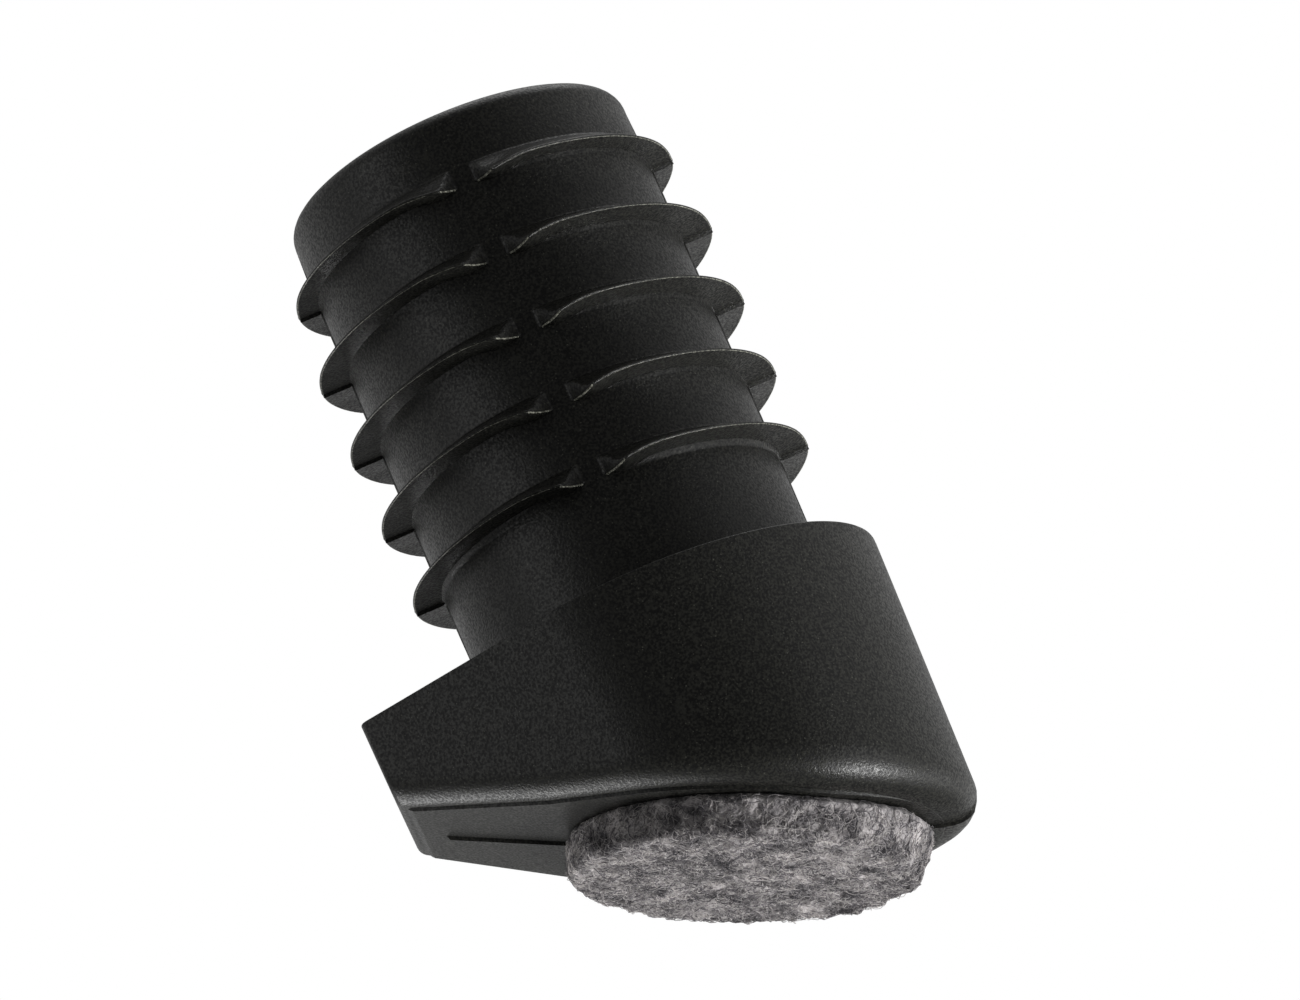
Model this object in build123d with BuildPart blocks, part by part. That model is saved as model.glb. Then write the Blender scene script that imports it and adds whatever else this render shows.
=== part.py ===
"""Tip for the end of a leaning round leg tube: a barbed plug with a wedge foot, and a felt disc under it.

Millimetres and degrees. The felt's underside lies on z = 0 with its centre at the origin, and +Z is up.
The stem leans towards -X, the foot's toe points to -X and its long round side faces +X.
"""

import os
from math import acos, atan2, cos, degrees, hypot, radians, sin, tan

from build123d import *

# Leg tube that the tip closes
tube_diameter = 25.4
leg_lean = 23.0

# Stem, measured from the shoulder that the tube's end seats on
stem_diameter = 19.5
stem_length = 29.0
stem_lead_in = 0.9

# Blind core that opens at the stem's top
core_diameter = 15.4
core_depth = 32.0

# Barbs round the stem, each flat below and sloped above, counted from the stem's top
barb_count = 5
barb_pitch = 4.5
lead_barb_drop = 4.6
lead_barb_diameter = 22.1
barb_diameter = 23.0
barb_rim = 0.35
barb_root = 1.15

# Vents that break the barbs at the front and the back
vent_count = 2
vent_width = 1.2
vent_slope = 38.0

# Foot
foot_depth = 12.4
foot_draft = 1.5
toe_reach = 16.5
toe_width = 13.0
toe_rise = 4.0
toe_corner_radius = 0.4
shoulder_chamfer = 0.2
sole_chamfer = 1.2

# Felt disc
felt_diameter = 19.5
felt_thickness = 2.5

# Places that follow from the sizes
stem_radius = stem_diameter / 2
tube_radius = tube_diameter / 2
lean = radians(leg_lean)
stem_direction = Vector(-sin(lean), 0, cos(lean))
side_direction = Vector(cos(lean), 0, sin(lean))
shoulder_centre = Vector(0, 0, felt_thickness) + stem_direction * foot_depth
shoulder = Plane(origin=shoulder_centre, x_dir=side_direction, z_dir=stem_direction)
section = Plane(origin=shoulder_centre, x_dir=side_direction, z_dir=(0, -1, 0))
felt_seat = Plane.XY.offset(felt_thickness)
toe_slope = radians(toe_rise)
toe_sole = Plane(origin=(-felt_diameter / 2, 0, felt_thickness), z_dir=(sin(toe_slope), 0, cos(toe_slope)))
stem_axis = Axis(shoulder_centre, stem_direction)
side_axis = Axis(shoulder_centre, side_direction)

with BuildPart() as plug_body:
    # Foot: the tube's round drawn out to the toe, drafted and cut off by the sole
    toe_distance = hypot(toe_reach, toe_width / 2)
    tangent_angle = 180 - degrees(atan2(toe_width / 2, toe_reach) + acos(tube_radius / toe_distance))
    with BuildSketch(shoulder):
        with BuildLine():
            rounding = CenterArc((0, 0), tube_radius, -tangent_angle, 2 * tangent_angle)
            Polyline(rounding @ 1, (-toe_reach, toe_width / 2), (-toe_reach, -toe_width / 2), rounding @ 0)
        make_face()
    extrude(amount=-(foot_depth + 2 * tube_radius * tan(lean)))
    draft(faces().filter_by(stem_axis, reverse=True), shoulder, -foot_draft)
    split(bisect_by=felt_seat, keep=Keep.TOP)
    split(bisect_by=toe_sole, keep=Keep.TOP)
    seat_edges = faces().filter_by(felt_seat).edges()
    toe_sole_edges = faces().filter_by(toe_sole).edges()
    chamfer((seat_edges - toe_sole_edges) + (toe_sole_edges - seat_edges), length=sole_chamfer)
    toe_edges = faces().sort_by(side_axis)[0].edges().sort_by(Axis.Y)
    fillet([toe_edges[0], toe_edges[-1]], radius=toe_corner_radius)
    chamfer(faces().sort_by(stem_axis)[-1].edges(), length=shoulder_chamfer)

    # Barbs, turned from their half sections; the topmost is smaller, to start the plug into the tube
    with BuildSketch(section):
        for index in range(barb_count):
            height = stem_length - lead_barb_drop - index * barb_pitch
            radius = (barb_diameter if index else lead_barb_diameter) / 2
            with BuildLine():
                Polyline(
                    (0, height),
                    (radius, height),
                    (radius, height + barb_rim),
                    (stem_radius, height + barb_root),
                    (0, height + barb_root),
                    close=True,
                )
            make_face()
    revolve(axis=stem_axis)

    # Vents: wedges that narrow to the stem, so that the barbs' ends slope down to it
    vent_depth = barb_diameter / 2
    vent_mouth = vent_width + 2 * vent_depth * tan(radians(vent_slope))
    with BuildSketch(shoulder):
        with PolarLocations(stem_radius + vent_depth / 2, vent_count, start_angle=90):
            Trapezoid(vent_mouth, vent_depth, 90 - vent_slope, rotation=90)
    extrude(amount=stem_length, mode=Mode.SUBTRACT)

    # Stem, flush in the vents and rounded at the top, with the core in it
    with BuildSketch(shoulder):
        Circle(stem_radius)
    extrude(amount=stem_length)
    fillet(faces().sort_by(stem_axis)[-1].edges(), radius=stem_lead_in)
    with BuildSketch(shoulder.offset(stem_length)):
        Circle(core_diameter / 2)
    extrude(amount=-core_depth, mode=Mode.SUBTRACT)
plug_body.part.label = "plug_body"

with BuildPart() as felt_pad:
    with BuildSketch():
        Circle(felt_diameter / 2)
    extrude(amount=felt_thickness)
felt_pad.part.label = "felt_pad"

os.makedirs("parts", exist_ok=True)
for piece in (plug_body.part, felt_pad.part):
    export_step(piece, f"parts/{piece.label}.step")
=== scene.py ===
"""Looks of the angled leg tip: a grained moulded plug, a needle felt disc and soft studio light.

The plug is modelled in the stem's own frame, with the shoulder on z = 0 and the stem along +Z, and then
set into the row frame. Sizes are in metres.
"""

import random
from math import acos, atan2, cos, exp, hypot, pi, radians, sin, tan

import bmesh
import bpy
from mathutils import Matrix, Vector, noise
from mathutils.bvhtree import BVHTree


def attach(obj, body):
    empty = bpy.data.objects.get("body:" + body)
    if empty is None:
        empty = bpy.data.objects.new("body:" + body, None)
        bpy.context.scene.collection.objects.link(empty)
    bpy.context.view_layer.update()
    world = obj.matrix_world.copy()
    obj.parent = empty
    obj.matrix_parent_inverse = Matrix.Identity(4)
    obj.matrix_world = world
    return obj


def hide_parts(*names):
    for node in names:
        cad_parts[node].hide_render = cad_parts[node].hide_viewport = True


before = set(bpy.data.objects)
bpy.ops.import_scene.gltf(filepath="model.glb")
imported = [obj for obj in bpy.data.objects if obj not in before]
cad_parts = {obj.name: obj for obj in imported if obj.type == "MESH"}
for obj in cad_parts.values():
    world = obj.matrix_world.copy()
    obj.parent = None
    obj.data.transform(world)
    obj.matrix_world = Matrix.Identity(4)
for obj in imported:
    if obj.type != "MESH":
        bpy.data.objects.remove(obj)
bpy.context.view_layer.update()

mm = 0.001

# Sizes that the plug and the felt share with their solids
lean = radians(23.0)
tube_radius = 12.7 * mm
stem_radius = 9.75 * mm
stem_length = 29.0 * mm
lead_in = 0.9 * mm
core_radius = 7.7 * mm
core_depth = 32.0 * mm
foot_depth = 12.4 * mm
foot_draft = radians(1.5)
toe_reach = 16.5 * mm
toe_half_width = 6.5 * mm
toe_rise = radians(4.0)
barb_heights = [(6.4 + 4.5 * index) * mm for index in range(5)]
barb_radii = [11.5 * mm] * 4 + [11.05 * mm]
vent_half_width = 0.6 * mm
vent_slope = tan(radians(38.0))
felt_radius = 9.75 * mm
felt_thickness = 2.5 * mm

# Finer sizes of the plug
round_steps = 480
toe_rounding = 2.5 * mm
heel_rounding = 2.75 * mm
toe_end_rounding = 0.35 * mm
shoulder_rounding = 0.1 * mm
heel_curl = 0.6 * mm
sole_step = 0.17 * mm
sole_step_width = 0.04 * mm
barb_rim = 0.28 * mm
barb_root = 1.05 * mm
rim_rounding = 0.12 * mm
root_rounding = 0.12 * mm
low_root_rounding = 0.26 * mm
underside_draft = radians(3.0)
draft_reach = 2.8 * mm
end_droop = 0.36 * mm
flash_thickness = 0.1 * mm

# Heights of the parting line's fin, in millimetres
sole_fin = 0.2
barb_fin = 0.16
stem_fin = 0.1
other_fin = 0.02

# Felt
felt_rim = 0.35 * mm
fibre_count = 3250
fibre_thickness = 0.034 * mm
fibre_lengths = (0.5 * mm, 1.6 * mm)
fibre_lifts = (0.04 * mm, 0.38 * mm)
fibre_side_share = 0.34

# Gaps below which points are taken as one
merge_gap = 0.0005 * mm
cut_gap = 0.001 * mm

shoulder_centre = Vector((-sin(lean) * foot_depth, 0, felt_thickness + cos(lean) * foot_depth))
stem_frame = Matrix.Translation(shoulder_centre) @ Matrix.Rotation(-lean, 4, "Y")
down = stem_frame.to_3x3().inverted() @ Vector((0, 0, -1))
toe_down = stem_frame.to_3x3().inverted() @ Vector((-sin(toe_rise), 0, -cos(toe_rise)))


def ease(value, start, end):
    """Smooth share from 0 at the start to 1 at the end."""
    share = min(1.0, max(0.0, (value - start) / (end - start)))
    return share * share * (3 - 2 * share)


def heel_lift(along):
    """How far the sole and the felt's top curl up towards the heel end, by the place along X."""
    return heel_curl * ease(along / mm, 4, 12)


def add_piece(name, shape, material, smooth_angle=None):
    """Puts a bmesh into the scene as a piece that rides on the only body."""
    mesh = bpy.data.meshes.new(name)
    shape.to_mesh(mesh)
    shape.free()
    return add_mesh_piece(name, mesh, material, smooth_angle)


def add_mesh_piece(name, mesh, material, smooth_angle=None):
    """Puts a mesh into the scene as a piece that rides on the only body."""
    mesh.shade_smooth()
    if smooth_angle is not None:
        mesh.set_sharp_from_angle(angle=smooth_angle)
    mesh.materials.clear()
    mesh.materials.append(material)
    piece = bpy.data.objects.new(name, mesh)
    bpy.context.scene.collection.objects.link(piece)
    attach(piece, "root")
    return piece


def everything(shape):
    return shape.verts[:] + shape.edges[:] + shape.faces[:]


def turn_about_z(shape):
    """Turns a half section in the XZ plane about Z: a quarter is spun, and mirrored twice to the whole."""
    bmesh.ops.spin(
        shape, geom=shape.verts[:] + shape.edges[:], cent=(0, 0, 0), axis=(0, 0, 1), angle=pi / 2,
        steps=round_steps // 4,
    )
    for axis in "XY":
        bmesh.ops.mirror(shape, geom=everything(shape), matrix=Matrix(), axis=axis, merge_dist=merge_gap)
    bmesh.ops.remove_doubles(shape, verts=shape.verts[:], dist=merge_gap)


def round_curve(name, thickness, sides):
    """Curve with a round section, for thin threads."""
    curve = bpy.data.curves.new(name, "CURVE")
    curve.dimensions = "3D"
    curve.bevel_depth = thickness / 2
    curve.bevel_resolution = sides
    curve.resolution_u = 2
    curve.use_fill_caps = True
    return curve


def add_thread(curve, places, shares):
    """Adds a smooth thread through the places, with its share of the curve's thickness at each."""
    spline = curve.splines.new("NURBS")
    spline.points.add(len(places) - 1)
    for target, place, share in zip(spline.points, places, shares):
        target.co = (*place, 1)
        target.radius = share
    spline.order_u = 3
    spline.use_endpoint_u = True


def curve_mesh(name, curve):
    """Turns a curve into a mesh of the same name."""
    holder = bpy.data.objects.new(name, curve)
    mesh = bpy.data.meshes.new_from_object(holder)
    bpy.data.objects.remove(holder)
    bpy.data.curves.remove(curve)
    mesh.name = name
    return mesh


# The plug

def cap_below(shape, point, normal):
    """Cuts off what lies beyond a plane of the row frame and closes the cut with one face."""
    to_stem = stem_frame.inverted()
    cut = bmesh.ops.bisect_plane(
        shape,
        geom=everything(shape),
        plane_co=to_stem @ Vector(point),
        plane_no=to_stem.to_3x3() @ Vector(normal),
        clear_outer=True,
    )
    rim = [item for item in cut["geom_cut"] if isinstance(item, bmesh.types.BMEdge)]
    bmesh.ops.contextual_create(shape, geom=rim)


def foot_block(rounding):
    """The tube's round drawn out to the toe, drafted, cut off by the sole and rounded along its edges."""
    shape = bmesh.new()
    toe_distance = hypot(toe_reach, toe_half_width)
    tangent = pi - atan2(toe_half_width, toe_reach) - acos(tube_radius / toe_distance)
    first = shape.verts.new((tube_radius * cos(tangent), -tube_radius * sin(tangent), 0))
    turn = bmesh.ops.spin(
        shape, geom=[first], cent=(0, 0, 0), axis=(0, 0, 1), angle=2 * tangent, steps=144,
    )
    last = [item for item in turn["geom_last"] if isinstance(item, bmesh.types.BMVert)][0]
    toe_left = shape.verts.new((-toe_reach, toe_half_width, 0))
    toe_right = shape.verts.new((-toe_reach, -toe_half_width, 0))
    for pair in ((last, toe_left), (toe_left, toe_right), (toe_right, first)):
        shape.edges.new(pair)
    section = bmesh.ops.contextual_create(shape, geom=shape.edges[:])["faces"][0]
    reach = foot_depth + 2 * tube_radius * tan(lean)
    bmesh.ops.inset_region(
        shape, faces=[section], thickness=reach * tan(foot_draft), use_even_offset=True, use_boundary=True,
    )
    bmesh.ops.translate(shape, verts=section.verts, vec=(0, 0, -reach))

    sole_height = felt_thickness + sole_step
    cap_below(shape, (0, 0, sole_height), (0, 0, -1))
    cap_below(shape, (-felt_radius, 0, sole_height), (-sin(toe_rise), 0, -cos(toe_rise)))
    shape.normal_update()
    sole = {face for face in shape.faces if abs(face.normal.dot(down)) > 0.9}
    edge_loop = [edge for face in shape.faces if face in sole for edge in face.edges]
    edge_loop = [edge for edge in edge_loop if len(sole & set(edge.link_faces)) == 1]
    edge_loop.remove(min(edge_loop, key=lambda edge: edge.verts[0].co.x + edge.verts[1].co.x))
    bmesh.ops.bevel(
        shape, geom=edge_loop, affect="EDGES", offset_type="WIDTH", offset=rounding, segments=8,
        profile=0.5, material=-1, clamp_overlap=False,
    )
    return shape


def foot_shape():
    """The foot, with a rounding of the sole that changes from the toe to the heel, where the sole curls up."""
    shape = foot_block(toe_rounding)
    heel = foot_block(heel_rounding)
    for vert, heel_vert in zip(shape.verts, heel.verts):
        along = (stem_frame @ vert.co).x / mm
        vert.co = vert.co.lerp(heel_vert.co, ease(along, -8, 9))
    heel.free()
    round_toe_end(shape)
    raise_sole_plate(shape)
    for vert in shape.verts:
        place = stem_frame @ vert.co
        vert.co.z += heel_lift(place.x) * (1 - ease(place.z / mm, 3.5, 8))
    bmesh.ops.recalc_face_normals(shape, faces=shape.faces[:])
    return shape


def round_toe_end(shape):
    """Rounds the edges of the toe's end face, all but the one at the shoulder."""
    end = min(shape.faces, key=lambda face: face.calc_center_median().x)
    edges = [edge for edge in end.edges if min(vert.co.z for vert in edge.verts) < -0.01 * mm]
    bmesh.ops.bevel(
        shape, geom=edges, affect="EDGES", offset=toe_end_rounding, segments=4, profile=0.5, material=-1,
        clamp_overlap=True,
    )


def raise_sole_plate(shape):
    """Sets the flat of the sole off from the rounding by a fine step that runs out at the toe and heel."""
    to_stem = stem_frame.inverted()
    for along in (-17.6, -17.45, -17.3, -16.1, -15.9, 4, 5.2, 6.4, 7.5, 8.3, 9.1):
        bmesh.ops.bisect_plane(
            shape,
            geom=everything(shape),
            plane_co=to_stem @ Vector((along * mm, 0, 0)),
            plane_no=to_stem.to_3x3() @ Vector((1, 0, 0)),
            dist=cut_gap,
        )
    bmesh.ops.recalc_face_normals(shape, faces=shape.faces[:])
    flats = [
        face for face in shape.faces if max(face.normal.dot(down), face.normal.dot(toe_down)) > 0.9999
    ]
    bmesh.ops.inset_region(shape, faces=flats, thickness=sole_step_width, use_even_offset=True)
    for vert in {vert for face in flats for vert in face.verts}:
        along = (stem_frame @ vert.co).x / mm
        vert.co += down * sole_step * ease(along, -17.7, -17.3) * (1 - 0.8 * ease(along, 5, 10))


def stem_shape():
    """Stem turned from its half section: root fillets, five barbs, lead-in and blind core."""
    shape = bmesh.new()
    roots, low_root, rims, lead = [], [], [], []

    def point(radius, height, corner=None):
        vert = shape.verts.new((radius, 0, height))
        if corner is not None:
            corner.append(vert)
        return vert

    chain = [point(stem_radius + 0.8 * mm, 0), point(stem_radius, 0, roots)]
    for height, radius in zip(barb_heights, barb_radii):
        chain += [
            point(stem_radius, height, roots if len(chain) > 2 else low_root),
            point(radius, height, rims),
            point(radius, height + barb_rim, rims),
            point(stem_radius, height + barb_root, roots),
        ]
    chain += [
        point(stem_radius, stem_length, lead),
        point(core_radius, stem_length, rims),
        point(core_radius, stem_length - core_depth, roots),
        point(0, stem_length - core_depth),
    ]
    for pair in zip(chain, chain[1:]):
        shape.edges.new(pair)
    for verts, rounding, segments in (
        (roots, root_rounding, 3), (low_root, low_root_rounding, 4), (rims, rim_rounding, 4), (lead, lead_in, 8),
    ):
        bmesh.ops.bevel(
            shape, geom=verts, affect="VERTICES", offset=rounding, segments=segments, profile=0.5, material=-1,
        )
    slopes = [edge for edge in shape.edges if is_slope(edge)]
    bmesh.ops.subdivide_edges(shape, edges=slopes, cuts=7)
    turn_about_z(shape)
    cut_vents(shape)
    draft_barbs(shape)
    bmesh.ops.recalc_face_normals(shape, faces=shape.faces[:])
    return shape


def is_slope(edge):
    """Whether an edge of the half section is a barb's upper slope."""
    step = edge.verts[1].co - edge.verts[0].co
    return abs(step.x) > 0.4 * mm and abs(step.z) > 0.2 * mm


def cut_vents(shape):
    """Draws the barbs in at the front and the back, on to the vents' sloped sides and then the stem."""
    for vert in shape.verts:
        radius = vert.co.xy.length
        if radius <= stem_radius or vert.co.z < 2 * mm:
            continue
        closing = (abs(vert.co.y) * vent_slope - abs(vert.co.x)) / radius
        if closing <= 0:
            continue
        limit = max(stem_radius, (stem_radius * vent_slope - vent_half_width) / closing)
        if radius > limit:
            limit = max(stem_radius, limit - rim_setback(radius, vert.co.z))
            vert.co.x *= limit / radius
            vert.co.y *= limit / radius


def rim_setback(radius, height):
    """How far a point of a barb's lower rounding lies behind the rim, and 0 for all other points."""
    for barb_height, barb_radius in zip(barb_heights, barb_radii):
        low = barb_height - 0.01 * mm < height < barb_height + rim_rounding
        if low and barb_radius - radius < rim_rounding:
            return barb_radius - radius
    return 0.0


def draft_rise(deep):
    """How far a barb's underside is drafted up, by the distance from the parting plane."""
    return tan(underside_draft) * min(abs(deep), draft_reach)


def droop(across, deep):
    """How far a barb's end hangs down beside the vent."""
    if abs(deep) <= 5 * mm:
        return 0.0
    aside = (abs(across) - 1.5 * mm) / (1.3 * mm)
    return end_droop * exp(-aside * aside)


def draft_barbs(shape):
    """Drafts the barbs' undersides up from the parting plane, and lets their ends hang down at the vents."""
    slack = 0.02 * mm
    for vert in shape.verts:
        for height in barb_heights:
            if not height - slack < vert.co.z < height + 1.02 * mm:
                continue
            if vert.co.xy.length > stem_radius + slack:
                under = 1 - ease(vert.co.z, height + 0.1 * mm, height + 0.25 * mm)
                vert.co.z += under * draft_rise(vert.co.y)
                lower = 1 - ease(vert.co.z, height + 0.5 * mm, height + mm)
                vert.co.z -= droop(vert.co.x, vert.co.y) * lower
            break


def raise_parting_line(shape):
    """Raises the mould's parting line in the plane of symmetry: a thin fin on the sole and the barbs."""
    for offset in (-0.08, 0, 0.08):
        below = [face for face in shape.faces if face.calc_center_median().z < -0.01 * mm]
        geometry = set(below)
        for face in below:
            geometry.update(face.verts, face.edges)
        bmesh.ops.bisect_plane(
            shape, geom=list(geometry), plane_co=(0, offset * mm, 0), plane_no=(0, 1, 0), dist=cut_gap,
        )
    shape.normal_update()
    stem_end = stem_length - 2 * mm
    for vert in shape.verts:
        radius = vert.co.xy.length
        inside_core = radius < stem_radius - 1 * mm and vert.co.z > -5 * mm
        if abs(vert.co.y) > 0.002 * mm or inside_core:
            continue
        facing_down = vert.normal.dot(down)
        if vert.co.z < 0 and facing_down > 0.2:
            at_toe = (stem_frame @ vert.co).x < -16.0 * mm
            fin = 0.0 if at_toe else sole_fin * ease(facing_down, 0.2, 0.6)
        elif vert.co.z > 2 * mm and vert.normal.z < -0.8:
            fin = barb_fin
        elif abs(radius - stem_radius) < 0.01 * mm and 0.4 * mm < vert.co.z < stem_end:
            fin = stem_fin
        else:
            fin = other_fin if vert.co.z < stem_end else 0.0
        vert.co += vert.normal * fin * mm


def plug_shape():
    """One closed shell: the foot, the stem and the shoulder between them."""
    shape = foot_shape()
    outline = [edge for edge in shape.edges if edge.is_boundary]
    stem = stem_shape()
    turned = bpy.data.meshes.new("turned_stem")
    stem.to_mesh(turned)
    stem.free()
    shape.from_mesh(turned)
    bpy.data.meshes.remove(turned)
    known = set(outline)
    mouth = [edge for edge in shape.edges if edge.is_boundary and edge not in known]
    bmesh.ops.bridge_loops(shape, edges=outline + mouth)
    bmesh.ops.recalc_face_normals(shape, faces=shape.faces[:])
    bmesh.ops.bevel(
        shape, geom=outline, affect="EDGES", offset=shoulder_rounding, segments=3, profile=0.5, material=-1,
        clamp_overlap=False,
    )
    raise_parting_line(shape)
    bmesh.ops.transform(shape, matrix=stem_frame, verts=shape.verts[:])
    bmesh.ops.recalc_face_normals(shape, faces=shape.faces[:])
    return shape


def flash_lips(name):
    """Lips of flash along the barbs' lower edges: at their ends beside the vents, and finer on their rims. Their
    pale colour is a painted highlight.
    """
    curve = round_curve(name, flash_thickness, 1)

    def lip(places, shares):
        set_places = []
        for across, deep, level in places:
            level += draft_rise(deep) - droop(across, deep)
            set_places.append(stem_frame @ Vector((across, deep, level)))
        add_thread(curve, set_places, shares)

    turns = [radians(-78 + 6.5 * index) for index in range(25)]
    for height, radius in zip(barb_heights, barb_radii):
        reach = radius - 0.03 * mm
        outs = [(radius - stem_radius - 0.16 * mm) * (0.08 + 0.23 * index) for index in range(5)]
        for side in (-1, 1):
            for face in (-1, 1):
                lip(
                    [
                        (side * (vent_half_width + out * vent_slope), face * (stem_radius + out), height)
                        for out in outs
                    ],
                    [1.0 for out in outs],
                )
            lip(
                [(side * reach * cos(turn), reach * sin(turn), height + 0.035 * mm) for turn in turns],
                [0.1 + 0.42 * cos(turn) for turn in turns],
            )
    return curve_mesh(name, curve)


# The felt

def felt_shape():
    """Felt disc turned from its half section, with lumps, a hairy skin and a rim spread above and worn below."""
    shape = bmesh.new()
    inner = felt_radius - felt_rim
    chain = [
        shape.verts.new((radius, 0, height)) for radius, height in (
            (0, 0), (inner, 0), (felt_radius, felt_rim), (felt_radius, felt_thickness - felt_rim),
            (inner, felt_thickness), (0, felt_thickness),
        )
    ]
    edges = [shape.edges.new(pair) for pair in zip(chain, chain[1:])]
    for edge, cuts in zip(edges, (84, 3, 13, 2, 6)):
        bmesh.ops.subdivide_edges(shape, edges=[edge], cuts=cuts)
    turn_about_z(shape)
    middle = 0.5 * felt_thickness
    for vert in shape.verts:
        spot = vert.co / mm
        clumps = noise.noise(spot * 1.0) * 0.5 + noise.noise(spot * 2.4 + Vector((7, 3, 1))) * 0.6
        hair = noise.noise(spot * 4.6) * 0.6 + noise.noise(spot * 9.5) * 0.4
        lower = max(0.0, 1 - vert.co.z / (0.7 * felt_thickness))
        upper = ease(vert.co.z, 0.3 * felt_thickness, felt_thickness)
        out = min(1.0, vert.co.xy.length / felt_radius) ** 12
        spread = 0.07 * upper * max(0.0, cos(atan2(vert.co.y, vert.co.x) + radians(40)))
        pull = 1 - out * (0.028 - spread - 0.022 * clumps - 0.012 * hair + lower * rim_wear(vert.co))
        vert.co.x *= pull
        vert.co.y *= pull
        if vert.co.z < middle:
            bottom = (0.3 + 0.32 * clumps + 0.16 * hair) * mm
            vert.co.z += max(0.02 * mm, bottom) * (1 - vert.co.z / middle)
        vert.co.z += heel_lift(vert.co.x) * upper
    bmesh.ops.recalc_face_normals(shape, faces=shape.faces[:])
    return shape


def rim_wear(place):
    """Share of the radius that is worn off the felt's lower edge, most at the back on the heel side."""
    turn = atan2(place.y, place.x)
    worn = max(0.0, cos(turn - radians(50))) ** 3
    scallops = max(0.0, 0.3 + noise.noise(Vector((cos(turn), sin(turn), 0)) * 5.5))
    return worn * (0.03 + 0.14 * scallops)


def skin_tree(shape):
    """Search tree over the felt's faces, in an order that follows from their places alone."""
    faces = []
    for face in shape.faces:
        corners = [tuple(round(value, 8) for value in vert.co) for vert in face.verts]
        first = corners.index(min(corners))
        faces.append(corners[first:] + corners[:first])
    places, polygons = [], []
    for corners in sorted(faces):
        polygons.append(list(range(len(places), len(places) + len(corners))))
        places += corners
    return BVHTree.FromPolygons(places, polygons)


def felt_fibres(name, skin, seed):
    """Loose fibres that lie in curls on the felt's underside and rim, and flatter near the rim."""
    rng = random.Random(seed)
    curve = round_curve(name, fibre_thickness, 0)
    rises = (-0.2, 0.7, 1.0, 0.7, -0.2)
    for _ in range(fibre_count):
        turn = rng.uniform(0, 2 * pi)
        if rng.random() < fibre_side_share:
            reach, height = felt_radius, rng.uniform(0.1, 2.4) * mm
        else:
            reach, height = felt_radius * rng.random() ** 0.5, 0
        start = Vector((reach * cos(turn), reach * sin(turn), height))
        spot, normal, _, _ = skin.find_nearest(start)
        heading = normal.orthogonal().normalized()
        heading.rotate(Matrix.Rotation(rng.uniform(0, 2 * pi), 3, normal))
        bend = rng.uniform(-1.5, 1.5)
        step = rng.uniform(*fibre_lengths) / 4
        lift = rng.uniform(*fibre_lifts) * (1.0 if start.xy.length < 0.88 * felt_radius else 0.45)
        places = []
        for rise in rises:
            place = spot + normal * lift * rise
            top = felt_thickness + heel_lift(place.x) - fibre_thickness
            places.append((place.x, place.y, min(top, max(fibre_thickness, place.z))))
            spot, normal, _, _ = skin.find_nearest(spot + heading * step)
            heading.rotate(Matrix.Rotation(bend + rng.uniform(-0.6, 0.6), 3, normal))
            heading = (heading - normal * heading.dot(normal)).normalized()
        add_thread(curve, places, [1.0] * len(rises))
    return curve_mesh(name, curve)


# Materials

def new_material(name):
    material = bpy.data.materials.new(name)
    material.use_nodes = True
    return material, material.node_tree, material.node_tree.nodes["Principled BSDF"]


def add_node(tree, kind, values=()):
    """Adds a node and sets the plain values of its sockets."""
    node = tree.nodes.new(kind)
    for socket, value in dict(values).items():
        node.inputs[socket].default_value = value
    return node


def add_range(tree, source, target, smooth=False):
    """Adds a node that maps one range of values on to another."""
    node = add_node(tree, "ShaderNodeMapRange", {
        "From Min": source[0], "From Max": source[1], "To Min": target[0], "To Max": target[1],
    })
    if smooth:
        node.interpolation_type = "SMOOTHSTEP"
    return node


def add_ramp(tree, first, last, between=()):
    """Adds a node that blends colours from stop to stop, each a position and a colour."""
    node = tree.nodes.new("ShaderNodeValToRGB")
    stops = node.color_ramp.elements
    stops[0].position, stops[0].color = first
    stops[1].position, stops[1].color = last
    for position, colour in between:
        stops.new(position).color = colour
    return node


def add_math(tree, operation, first, second):
    """Adds a node that works on two sources, each a socket or a plain number, and gives its result."""
    node = tree.nodes.new("ShaderNodeMath")
    node.operation = operation
    for socket, source in zip(node.inputs, (first, second)):
        if isinstance(source, float):
            socket.default_value = source
        else:
            tree.links.new(source, socket)
    return node.outputs[0]


def fine_grain_group():
    """Fine grain of mould and fibre: a height for bump and a mask of tiny scattered specks."""
    group = bpy.data.node_groups.new("fine_grain", "ShaderNodeTree")
    group.interface.new_socket("Vector", in_out="INPUT", socket_type="NodeSocketVector")
    for name in ("Grain Scale", "Speck Scale", "Speck Size"):
        group.interface.new_socket(name, in_out="INPUT", socket_type="NodeSocketFloat")
    for name in ("Height", "Specks"):
        group.interface.new_socket(name, in_out="OUTPUT", socket_type="NodeSocketFloat")
    links = group.links
    entry = add_node(group, "NodeGroupInput")
    leave = add_node(group, "NodeGroupOutput")
    grain = add_node(group, "ShaderNodeTexNoise", {"Detail": 1})
    specks = add_node(group, "ShaderNodeTexVoronoi")
    near = add_range(group, (0, 1), (1, 0))
    chance = add_node(group, "ShaderNodeSeparateColor")
    links.new(entry.outputs["Vector"], grain.inputs["Vector"])
    links.new(entry.outputs["Grain Scale"], grain.inputs["Scale"])
    links.new(entry.outputs["Vector"], specks.inputs["Vector"])
    links.new(entry.outputs["Speck Scale"], specks.inputs["Scale"])
    links.new(specks.outputs["Distance"], near.inputs["Value"])
    links.new(entry.outputs["Speck Size"], near.inputs["From Max"])
    links.new(specks.outputs["Color"], chance.inputs["Color"])
    level = add_math(group, "POWER", chance.outputs["Red"], 2.5)
    shine = add_math(group, "MULTIPLY", near.outputs["Result"], level)
    links.new(grain.outputs["Fac"], leave.inputs["Height"])
    links.new(shine, leave.inputs["Specks"])
    return group


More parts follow.
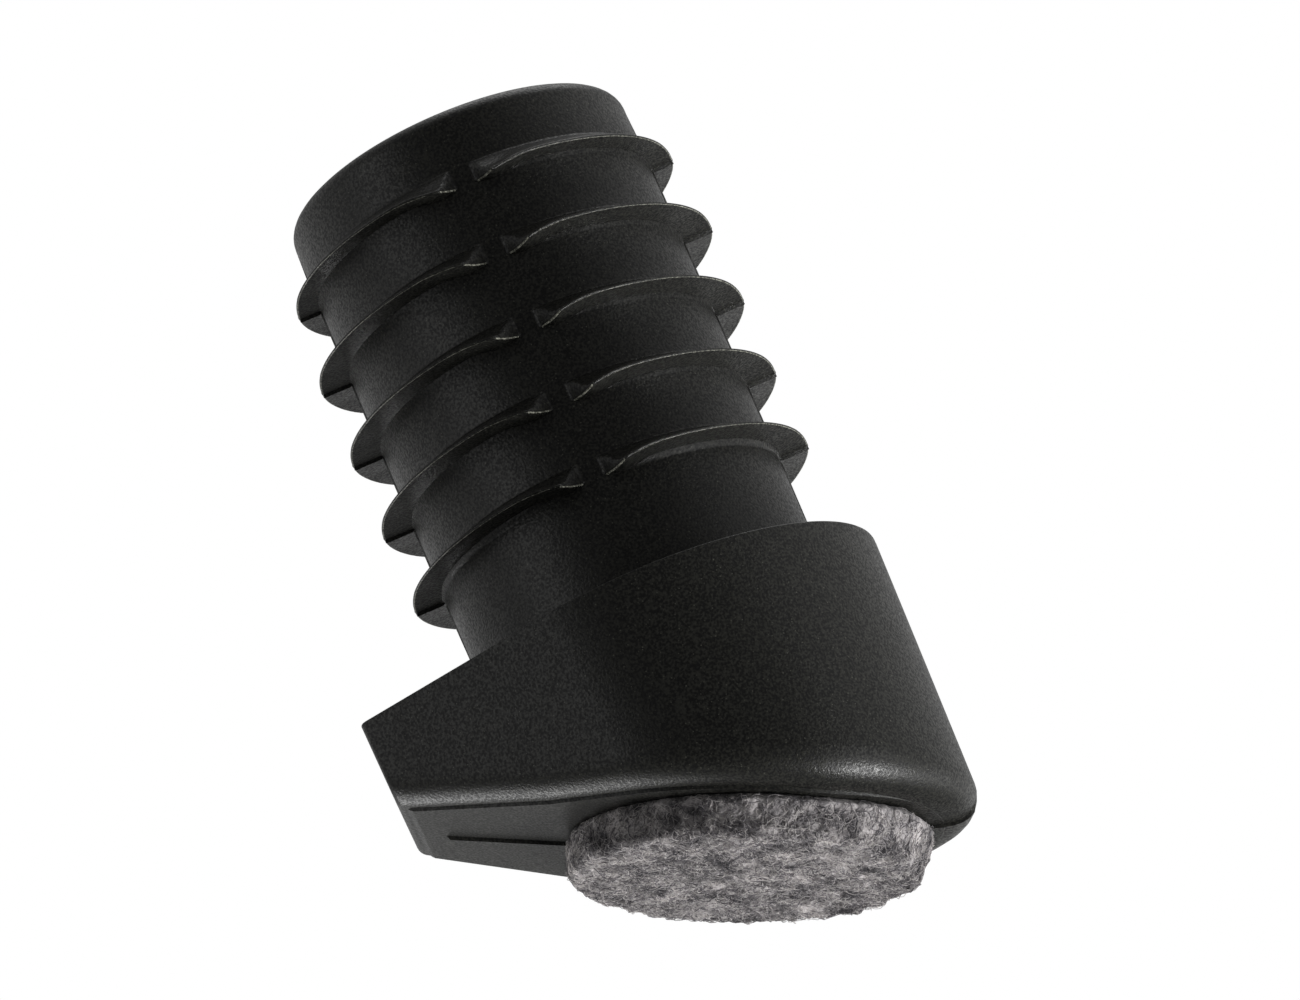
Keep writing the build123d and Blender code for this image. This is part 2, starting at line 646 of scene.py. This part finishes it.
def add_grain(tree, group, place, values):
    """Places the fine grain in a material and sets its plain values."""
    grain = tree.nodes.new("ShaderNodeGroup")
    grain.node_tree = group
    for socket, value in values.items():
        grain.inputs[socket].default_value = value
    tree.links.new(place, grain.inputs["Vector"])
    return grain


def add_bump(tree, shader, height, strength, distance):
    """Lets a height tilt the surface's normals."""
    bump = add_node(tree, "ShaderNodeBump", {"Strength": strength, "Distance": distance})
    tree.links.new(height, bump.inputs["Height"])
    tree.links.new(bump.outputs["Normal"], shader.inputs["Normal"])


def moulded_plastic(name, grain_group, dark, pale):
    """Matte plastic with a spark-eroded grain, mottled between two colours and with tiny pale specks."""
    material, tree, shader = new_material(name)
    links = tree.links
    place = add_node(tree, "ShaderNodeTexCoord").outputs["Object"]
    grain = add_grain(tree, grain_group, place, {
        "Grain Scale": 7000, "Speck Scale": 5200, "Speck Size": 0.25,
    })
    mottle = add_ramp(tree, (0.4, dark), (0.64, pale))
    links.new(grain.outputs["Height"], mottle.inputs["Fac"])
    tint = tree.nodes.new("ShaderNodeMix")
    tint.data_type = "RGBA"
    tint.inputs["B"].default_value = (0.2, 0.2, 0.165, 1)
    links.new(mottle.outputs["Color"], tint.inputs["A"])
    links.new(grain.outputs["Specks"], tint.inputs["Factor"])
    links.new(tint.outputs["Result"], shader.inputs["Base Color"])
    rough = add_range(tree, (0.35, 0.65), (0.5, 0.28))
    links.new(grain.outputs["Height"], rough.inputs["Value"])
    links.new(rough.outputs["Result"], shader.inputs["Roughness"])
    shader.inputs["Specular IOR Level"].default_value = 0.44
    add_bump(tree, shader, grain.outputs["Height"], 0.9, 0.000024)
    return material


def felt_material(name, grain_group, dark, pale, bump_distance):
    """Melange felt: pale and dark fibre colours mixed in fine streaks, with a soft sheen."""
    material, tree, shader = new_material(name)
    links = tree.links
    place = add_node(tree, "ShaderNodeTexCoord").outputs["Object"]
    grain = add_grain(tree, grain_group, place, {"Grain Scale": 5200})
    blend = add_node(tree, "ShaderNodeTexNoise", {
        "Scale": 2600, "Detail": 5, "Roughness": 0.7, "Distortion": 1.2,
    })
    links.new(place, blend.inputs["Vector"])
    patches = add_node(tree, "ShaderNodeTexNoise", {"Scale": 520, "Detail": 2})
    links.new(place, patches.inputs["Vector"])
    melange = add_node(tree, "ShaderNodeMix", {"Factor": 0.6})
    links.new(blend.outputs["Fac"], melange.inputs["A"])
    links.new(patches.outputs["Fac"], melange.inputs["B"])
    ramp = add_ramp(tree, (0.4, dark), (0.6, pale))
    links.new(melange.outputs["Result"], ramp.inputs["Fac"])
    links.new(ramp.outputs["Color"], shader.inputs["Base Color"])
    shader.inputs["Roughness"].default_value = 0.95
    shader.inputs["Specular IOR Level"].default_value = 0.15
    shader.inputs["Sheen Weight"].default_value = 0.25
    shader.inputs["Sheen Roughness"].default_value = 0.6
    add_bump(tree, shader, grain.outputs["Height"], 0.8, bump_distance)
    return material


# The studio

def floor_material():
    """Pale floor that takes the shadow from above and lets the view and the light through from below."""
    material, tree, shader = new_material("pale_floor")
    shader.inputs["Base Color"].default_value = (0.85, 0.85, 0.85, 1)
    shader.inputs["Roughness"].default_value = 0.9
    clear = add_node(tree, "ShaderNodeBsdfTransparent")
    path = add_node(tree, "ShaderNodeLightPath")
    side = add_node(tree, "ShaderNodeNewGeometry")
    front = add_math(tree, "SUBTRACT", path.outputs["Is Camera Ray"], side.outputs["Backfacing"])
    front.node.use_clamp = True
    mix = add_node(tree, "ShaderNodeMixShader")
    tree.links.new(front, mix.inputs["Fac"])
    tree.links.new(clear.outputs[0], mix.inputs[1])
    tree.links.new(shader.outputs[0], mix.inputs[2])
    tree.links.new(mix.outputs[0], tree.nodes["Material Output"].inputs["Surface"])
    return material


def lay_floor():
    floor = bmesh.new()
    bmesh.ops.create_grid(floor, x_segments=1, y_segments=1, size=0.6)
    bmesh.ops.translate(floor, verts=floor.verts[:], vec=(0, 0, -0.0001))
    mesh = bpy.data.meshes.new("studio_floor")
    floor.to_mesh(mesh)
    floor.free()
    mesh.materials.append(floor_material())
    ground = bpy.data.objects.new("studio_floor", mesh)
    bpy.context.scene.collection.objects.link(ground)


def light_world():
    """White to the camera; to the part a soft room, brightest level with it, behind it and to its right."""
    world = bpy.data.worlds.new("studio")
    bpy.context.scene.world = world
    world.use_nodes = True
    tree = world.node_tree
    links = tree.links
    wall = tree.nodes["Background"]
    wall.inputs["Color"].default_value = (1, 1, 1, 1)
    path = add_node(tree, "ShaderNodeLightPath")
    direction = add_node(tree, "ShaderNodeTexCoord")
    parts = add_node(tree, "ShaderNodeSeparateXYZ")
    links.new(direction.outputs["Generated"], parts.inputs[0])
    behind = add_range(tree, (-0.9, 0.45), (0.11, 0.76), smooth=True)
    links.new(parts.outputs["Y"], behind.inputs["Value"])
    aside = add_range(tree, (-0.4, 0.5), (0.72, 0.9), smooth=True)
    links.new(parts.outputs["X"], aside.inputs["Value"])
    height = add_range(tree, (-1, 1), (0, 1))
    links.new(parts.outputs["Z"], height.inputs["Value"])
    stops = [
        (position, (grey, grey, grey, 1)) for position, grey in (
            (0.2, 0.2), (0.275, 0.06), (0.335, 0.2), (0.38, 0.46), (0.42, 0.8), (0.52, 1.0), (0.7, 0.7),
        )
    ]
    above = add_ramp(tree, stops[0], stops[-1], stops[1:-1])
    links.new(height.outputs["Result"], above.inputs["Fac"])
    level = add_math(tree, "MULTIPLY", behind.outputs["Result"], aside.outputs["Result"])
    light = add_math(tree, "MULTIPLY", level, above.outputs["Color"])
    shown = add_math(tree, "MAXIMUM", path.outputs["Is Camera Ray"], path.outputs["Is Transmission Ray"])
    links.new(add_math(tree, "MAXIMUM", light, shown), wall.inputs["Strength"])


def hang_lamp(name, place, power, size):
    """Area lamp that faces the part."""
    light = bpy.data.lights.new(name, "AREA")
    light.shape = "RECTANGLE"
    light.size, light.size_y = size
    light.energy = power
    holder = bpy.data.objects.new(name, light)
    holder.location = place
    aim = Vector((-0.005, 0, 0.02)) - Vector(place)
    holder.rotation_euler = aim.to_track_quat("-Z", "Y").to_euler()
    bpy.context.scene.collection.objects.link(holder)


def aim_camera():
    """Camera a little below the floor's level, looking up at the sole and the felt's underside."""
    azimuth, elevation, roll = radians(5.596), radians(-16.615), radians(0.456)
    distance = 0.520337
    pixels_per_metre, picture_width = 18631.558, 1300
    back = Vector((sin(azimuth) * cos(elevation), -cos(azimuth) * cos(elevation), sin(elevation)))
    level = Vector((cos(azimuth), sin(azimuth), 0))
    upright = back.cross(level)
    right = cos(roll) * level + sin(roll) * upright
    up = cos(roll) * upright - sin(roll) * level
    target = Vector((-0.00463, 0, 0.01391)) - 0.000632 * right + 0.007239 * up
    camera = bpy.data.cameras.new("camera")
    camera.sensor_width = 36
    camera.lens = 36 * pixels_per_metre * distance / picture_width
    camera.clip_start = 0.01
    holder = bpy.data.objects.new("camera", camera)
    turn = Matrix((right, up, back)).transposed().to_4x4()
    holder.matrix_world = Matrix.Translation(target + distance * back) @ turn
    bpy.context.scene.collection.objects.link(holder)
    bpy.context.scene.camera = holder


bpy.context.scene.view_settings.view_transform = "Standard"
grain = fine_grain_group()
plastic = moulded_plastic("moulded_plastic", grain, (0.004, 0.004, 0.0036, 1), (0.038, 0.038, 0.033, 1))
# Pale plastic for the flash lips: painted highlight, a bright line on the barbs' lower edges and rims that the
# lamps do not give the black plastic.
lip_highlight_plastic = moulded_plastic("lip_painted_highlight", grain, (0.1, 0.1, 0.08, 1), (0.5, 0.5, 0.42, 1))
felt_body = felt_material("felt", grain, (0.1, 0.094, 0.1, 1), (0.72, 0.68, 0.68, 1), 0.00008)
felt_pale = felt_material(
    "felt_pale_fibre", grain, (0.4, 0.376, 0.376, 1), (0.85, 0.81, 0.785, 1), 0.00001,
)
felt_dark = felt_material(
    "felt_dark_fibre", grain, (0.045, 0.042, 0.05, 1), (0.26, 0.245, 0.26, 1), 0.00001,
)

plug = add_piece("plug", plug_shape(), plastic, radians(32))
even = plug.modifiers.new("even_faces", "WEIGHTED_NORMAL")
even.keep_sharp = True
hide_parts("plug_body")
# The lips are pale as a painted highlight, not because the plastic is paler there.
add_mesh_piece("flash_lips", flash_lips("flash_lips"), lip_highlight_plastic)

felt_mesh = felt_shape()
felt_skin = skin_tree(felt_mesh)
felt = add_piece("felt_disc", felt_mesh, felt_body)
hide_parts("felt_pad")
for name, material, seed in (
    ("felt_fibres_pale", felt_pale, 11), ("felt_fibres_dark", felt_dark, 23), ("felt_fibres_grey", felt_body, 37),
):
    add_mesh_piece(name, felt_fibres(name, felt_skin, seed), material)

lay_floor()
light_world()
for name, place, power, size in (
    ("right_low", (0.316, -0.040, -0.220), 1.2, (0.10, 0.20)),
    ("left_low", (-0.184, 0.208, -0.268), 0.62, (0.20, 0.20)),
    ("right_rim", (0.344, 0.168, -0.092), 0.08, (0.06, 0.20)),
    ("right_strip", (0.36, -0.16, -0.01), 0.25, (0.20, 0.45)),
    ("left_strip", (-0.33, -0.22, -0.05), 0.2, (0.20, 0.50)),
    ("top_box", (0.0, 0.10, 0.45), 0.5, (0.35, 0.35)),
):
    hang_lamp(name, place, power, size)
aim_camera()
